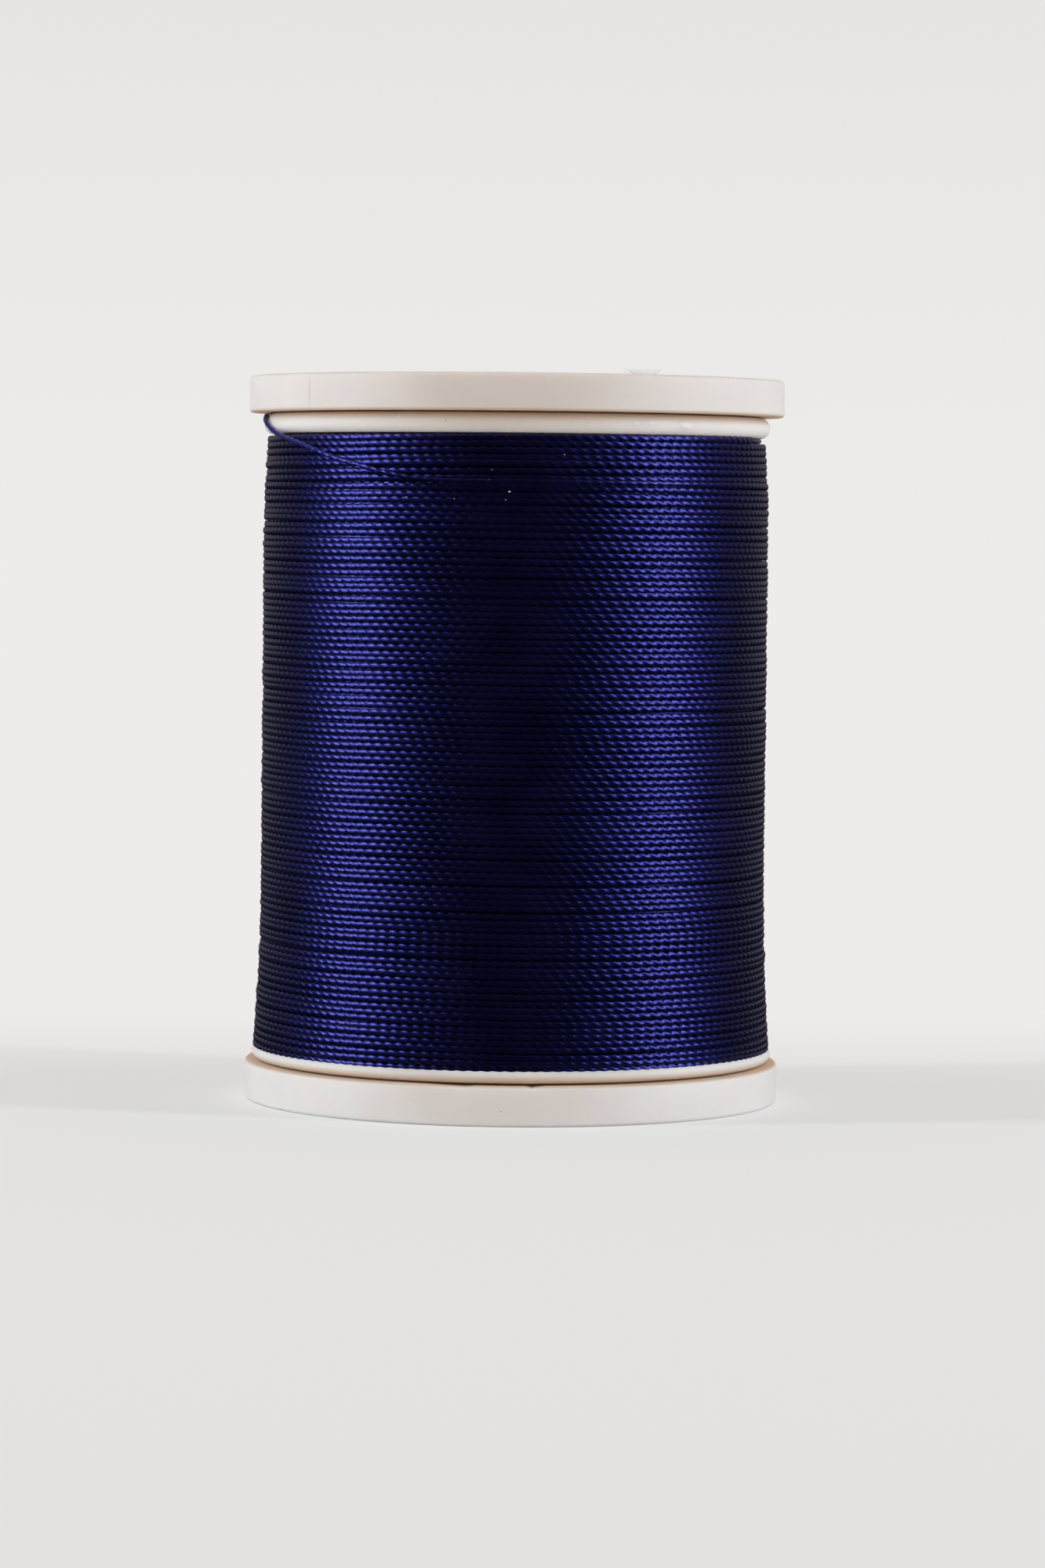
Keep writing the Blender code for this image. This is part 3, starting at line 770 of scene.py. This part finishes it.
top_lip = TOP_SLIT_Z + TOP_SLIT / 2
top_cap = build_cap("top_cap_moulding", CAP_TOP_Z - top_lip, TOP_SLIT)
top_cap.location.z = top_lip
select_only(top_cap)
bpy.ops.object.transform_apply(location=True)
bpy.ops.object.shade_smooth_by_angle(angle=SHARP_ANGLE)
seam_place = round_axis(SEAM_ANGLE, CAP_RADIUS, (CAP_TOP_Z + top_lip) / 2)
bpy.ops.object.select_all(action="DESELECT")
bpy.ops.mesh.primitive_cube_add(size=1, location=seam_place, rotation=(0, 0, -math.radians(SEAM_ANGLE)))
mould_line = bpy.context.object
mould_line.name = mould_line.data.name = "top_cap_mould_line"
mould_line.scale = SEAM_SIZE
bpy.ops.object.transform_apply(location=True, rotation=True, scale=True)
# Painted shade: the flash is coloured darker than the cap and has no inner light, so that it draws the seam's
# thin line of shade.
flash = moulded_polypropylene("polypropylene_flash_painted_shade", "#D2CEC5", "#D8D5CD", inner_light=0)
mould_line.data.materials.append(flash)
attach(mould_line, "top_cap")

bottom_lip = BOTTOM_SLIT_Z - BOTTOM_SLIT / 2
bottom_cap = build_cap("bottom_cap_moulding", bottom_lip, BOTTOM_SLIT)
select_only(bottom_cap)
bottom_cap.rotation_euler.x = math.pi
bottom_cap.location.z = bottom_lip
bpy.ops.object.transform_apply(location=True, rotation=True)
bpy.ops.object.shade_smooth_by_angle(angle=SHARP_ANGLE)
co = np.empty(len(bottom_cap.data.vertices) * 3, np.float32)
bottom_cap.data.vertices.foreach_get("co", co)
co = co.reshape(-1, 3)
angle = np.degrees(np.arctan2(-co[:, 0], -co[:, 1]))
reach = np.hypot(co[:, 0], co[:, 1])
worn_down = np.interp(angle, [nick[0] for nick in LIP_NICKS], [nick[1] for nick in LIP_NICKS])
at_lip = np.clip(1 - (bottom_lip - co[:, 2]) / NICK_HEIGHT, 0, 1) * (reach > NICK_REACH)
co[:, 2] -= worn_down * at_lip
bottom_cap.data.vertices.foreach_set("co", co.ravel())
bottom_cap.data.update()
# Painted light: the bottom cap's colours are lighter than the top cap's, for the light that the pale table
# throws up onto it. The plastic is the same.
for cap, body, dark, light, painted_slit_shade in (
    (top_cap, "top_cap", "#E3E0DD", "#E7E5E2", (0.04122, 0.04106)),
    (bottom_cap, "bottom_cap", "#EBEAE9", "#EEEEED", (0.00220, 0.00232)),
):
    # The last of these is painted tan shade on the cap's lip, next to its slit.
    cap.data.materials.append(moulded_polypropylene("polypropylene_white_" + body, dark, light, [painted_slit_shade]))
    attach(cap, body)
    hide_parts(body)


# ----------------------------------------------------------------------------------------------
# Dust: specks and fibres of cotton lint that have settled on the thread and the plastic, with a
# few dark grains, 0.05 to 0.7 mm across. They are real lumps, lit as the rest is.
# ----------------------------------------------------------------------------------------------
PALE_SPECKS = {  # degrees from the front towards the left, radius, height, size
    "barrel": (
        (1.5, 0.01511, 0.03640, 0.00010),
        (2.3, 0.01512, 0.03593, 0.00005),
        (-10.5, 0.01500, 0.03855, 0.00005),
        (13.6, 0.01513, 0.03597, 0.00005),
        (24.6, 0.01513, 0.03603, 0.00005),
        (39.0, 0.01513, 0.03406, 0.00006),
        (5.4, 0.01506, 0.03764, 0.00004),
        (26.6, 0.01508, 0.04065, 0.00013),
        (-20.0, 0.01510, 0.04059, 0.00013),
        (-26.9, 0.01515, 0.04039, 0.00030),
        (-28.2, 0.01515, 0.04042, 0.00018),
        (-29.2, 0.01515, 0.04041, 0.00018),
        (-30.5, 0.01515, 0.04041, 0.00032),
        (-39.3, 0.01515, 0.04037, 0.00046),
        (-40.5, 0.01515, 0.04036, 0.00050),
    ),
    "top_cap": (
        (-26.6, 0.0160, 0.04296, 0.00007),
        (-27.6, 0.0160, 0.04298, 0.00006),
        (-31.9, 0.0160, 0.04234, 0.00006),
        (-33.8, 0.0160, 0.04126, 0.00008),
        (-34.0, 0.0160, 0.04138, 0.00008),
        (-34.2, 0.0160, 0.04152, 0.00008),
        (-34.4, 0.0160, 0.04166, 0.00007),
        (-43.4, 0.0160, 0.04298, 0.00006),
    ),
    "bottom_cap": ((-28.9, 0.0160, 0.00173, 0.00012), (-3.8, 0.0160, 0.00020, 0.00005)),
}
LUMP_SHAPE = (1.5, 0.18, 0.8)  # across, deep, tall
DARK_SPECKS = {
    "barrel": (
        (26.2, 0.01509, 0.04061, 0.00005),
        (18.0, 0.01510, 0.04057, 0.00005),
        (15.6, 0.01515, 0.04040, 0.00006),
    ),
    "bottom_cap": ((1.9, 0.0160, 0.00092, 0.00006),),
}


def dust(name, colour):
    """Lint or grit: matt all over, with a mottle about 0.03 mm across."""
    made, tree = new_material(name)
    where = add(tree, "ShaderNodeTexCoord")
    mottle = add(tree, "ShaderNodeTexNoise", {"Vector": where.outputs["Object"], "Scale": 30000.0})
    tone = add(tree, "ShaderNodeMix", {"Factor": mottle.outputs["Fac"]}, data_type="RGBA")
    tone.inputs[6].default_value = srgb(colour)
    tone.inputs[7].default_value = [0.85 * part for part in srgb(colour)[:3]] + [1]
    shader = add(tree, "ShaderNodeBsdfPrincipled", {"Base Color": tone.outputs[2], "Roughness": 0.9})
    add(tree, "ShaderNodeOutputMaterial", {"Surface": shader.outputs[0]})
    return made


def scatter(name, places, material, body):
    """One small lump at each place, flattened against the surface, joined into one piece."""
    bpy.ops.object.select_all(action="DESELECT")
    lumps = []
    for number, (angle, radius, height, size) in enumerate(places):
        bpy.ops.mesh.primitive_ico_sphere_add(subdivisions=1, radius=size / 2)
        lump = bpy.context.object
        lump.scale = LUMP_SHAPE
        lump.rotation_euler = (0, 0.25 * math.sin(5 * number), -math.radians(angle))
        lump.location = round_axis(angle, radius, height)
        lumps.append(lump)
    for lump in lumps:
        lump.select_set(True)
    bpy.ops.object.transform_apply(location=True, rotation=True, scale=True)
    bpy.ops.object.join()
    joined = bpy.context.object
    joined.name = joined.data.name = name
    joined.data.materials.clear()
    joined.data.materials.append(material)
    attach(joined, body)


pale_lint = dust("cotton_lint_pale", "#FDFCFA")
dark_grit = dust("grit_dark", "#4A3B30")
for kind, specks, material in (("lint", PALE_SPECKS, pale_lint), ("grit", DARK_SPECKS, dark_grit)):
    for body, places in specks.items():
        scatter(f"{kind}_on_{body}", places, material, body)


# ----------------------------------------------------------------------------------------------
# Studio: a pale table that runs into a pale backdrop, and a tall soft light on either side, just
# in front of the spool, with a dim room before it.
# ----------------------------------------------------------------------------------------------
LIGHT_DISTANCE = 0.42
LIGHT_AZIMUTHS = (78, -72.5)
LIGHT_WIDTH = 0.05
LIGHT_HEIGHT = 0.50
LIGHT_CENTRE = 0.25
LIGHT_WATTS = (1.75, 1.66)
LIGHT_COLOUR = "#E5F1FF"
FLOOR_RADIUS = 0.40
FLOOR_FADE = (0.20, 0.38)  # from these to these, the floor turns into the backdrop: all round
FLOOR_FADE_BEHIND = (0.005, 0.060)  # and behind the spool, where the paper bends up

bpy.ops.object.select_all(action="DESELECT")
bpy.ops.mesh.primitive_circle_add(vertices=96, radius=FLOOR_RADIUS, fill_type="NGON")
floor = bpy.context.object
floor.name = "studio_floor"
floor_material, tree = new_material("studio_paper")
rays = add(tree, "ShaderNodeLightPath")
where = add(tree, "ShaderNodeTexCoord")
reach = add(tree, "ShaderNodeVectorMath", {0: where.outputs["Object"]}, operation="LENGTH")
edge = add(
    tree,
    "ShaderNodeMapRange",
    {"Value": reach.outputs["Value"], "From Min": FLOOR_FADE[0], "From Max": FLOOR_FADE[1]},
    interpolation_type="SMOOTHSTEP",
)
side = add(tree, "ShaderNodeSeparateXYZ", {0: where.outputs["Object"]})
behind = add(
    tree,
    "ShaderNodeMapRange",
    {"Value": side.outputs["Y"], "From Min": FLOOR_FADE_BEHIND[0], "From Max": FLOOR_FADE_BEHIND[1]},
    interpolation_type="SMOOTHSTEP",
)
fade = add(tree, "ShaderNodeMath", {0: edge.outputs[0], 1: behind.outputs[0]}, operation="MAXIMUM")
# The paper as it lights the spool from below, and as the gloss of the thread sees it: there it is painted dark,
# a painted darker reflection of the paper.
paper = add(tree, "ShaderNodeBsdfDiffuse", {"Color": srgb("#EEEDEB")})
paper_painted_dark_for_gloss = add(tree, "ShaderNodeBsdfDiffuse", {"Color": srgb("#404040")})
bounce = add(
    tree,
    "ShaderNodeMixShader",
    {0: rays.outputs["Is Glossy Ray"], 1: paper.outputs[0], 2: paper_painted_dark_for_gloss.outputs[0]},
)
# The paper as the camera sees it: pale near the spool, with its shadow, and plain backdrop further off.
shadowed = add(tree, "ShaderNodeBsdfDiffuse", {"Color": srgb("#9B9A99")})
glow = add(tree, "ShaderNodeEmission", {"Color": srgb("#FCFFFF"), "Strength": 0.53})
near = add(tree, "ShaderNodeAddShader", {0: shadowed.outputs[0], 1: glow.outputs[0]})
far = add(tree, "ShaderNodeEmission", {"Color": srgb("#EDECEA"), "Strength": 1.0})
lit = add(tree, "ShaderNodeMixShader", {0: fade.outputs[0], 1: near.outputs[0], 2: far.outputs[0]})
seen = add(
    tree,
    "ShaderNodeMixShader",
    {0: rays.outputs["Is Camera Ray"], 1: bounce.outputs[0], 2: lit.outputs[0]},
)
add(tree, "ShaderNodeOutputMaterial", {"Surface": seen.outputs[0]})
floor.data.materials.append(floor_material)

world = bpy.data.worlds.new("studio_room")
bpy.context.scene.world = world
world.use_nodes = True
tree = world.node_tree
tree.nodes.clear()
rays = add(tree, "ShaderNodeLightPath")
# The warm dim room that fills the shade.
room = add(tree, "ShaderNodeBackground", {"Color": srgb("#FFDDB8"), "Strength": 0.40})
where = add(tree, "ShaderNodeTexCoord")
# The backdrop that the camera sees, a little darker higher up.
height = add(tree, "ShaderNodeSeparateXYZ", {0: where.outputs["Generated"]})
falloff = add(
    tree,
    "ShaderNodeMapRange",
    {"Value": height.outputs["Z"], "From Min": -0.02, "From Max": 0.12, "To Min": 1.0, "To Max": 0.93},
    interpolation_type="SMOOTHSTEP",
)
backdrop = add(tree, "ShaderNodeBackground", {"Color": srgb("#EDECEA"), "Strength": falloff.outputs[0]})
# The room that gloss sees: dark in front, and pale behind the spool, where the backdrop is.
sheen = add(
    tree,
    "ShaderNodeMapRange",
    {"Value": height.outputs["Y"], "From Min": 0.35, "From Max": 1.0, "To Min": 0.04, "To Max": 0.35},
    interpolation_type="SMOOTHSTEP",
)
glossy = add(tree, "ShaderNodeBackground", {"Color": srgb("#F2E9E0"), "Strength": sheen.outputs[0]})
mirror = add(
    tree,
    "ShaderNodeMixShader",
    {0: rays.outputs["Is Glossy Ray"], 1: room.outputs[0], 2: glossy.outputs[0]},
)
seen = add(
    tree,
    "ShaderNodeMixShader",
    {0: rays.outputs["Is Camera Ray"], 1: mirror.outputs[0], 2: backdrop.outputs[0]},
)
add(tree, "ShaderNodeOutputWorld", {"Surface": seen.outputs[0]})

for side, azimuth, watts in zip(("left", "right"), LIGHT_AZIMUTHS, LIGHT_WATTS):
    lamp = bpy.data.objects.new("light_" + side, bpy.data.lights.new("light_" + side, "AREA"))
    bpy.context.scene.collection.objects.link(lamp)
    lamp.data.shape = "RECTANGLE"
    lamp.data.size = LIGHT_WIDTH
    lamp.data.size_y = LIGHT_HEIGHT
    lamp.data.energy = watts
    lamp.data.color = srgb(LIGHT_COLOUR)[:3]
    place = Vector(round_axis(azimuth, LIGHT_DISTANCE, LIGHT_CENTRE))
    lamp.location = place
    lamp.rotation_euler = (place - Vector((0, 0, LIGHT_CENTRE))).to_track_quat("Z", "Y").to_euler()

bpy.data.objects.remove(thread_section)
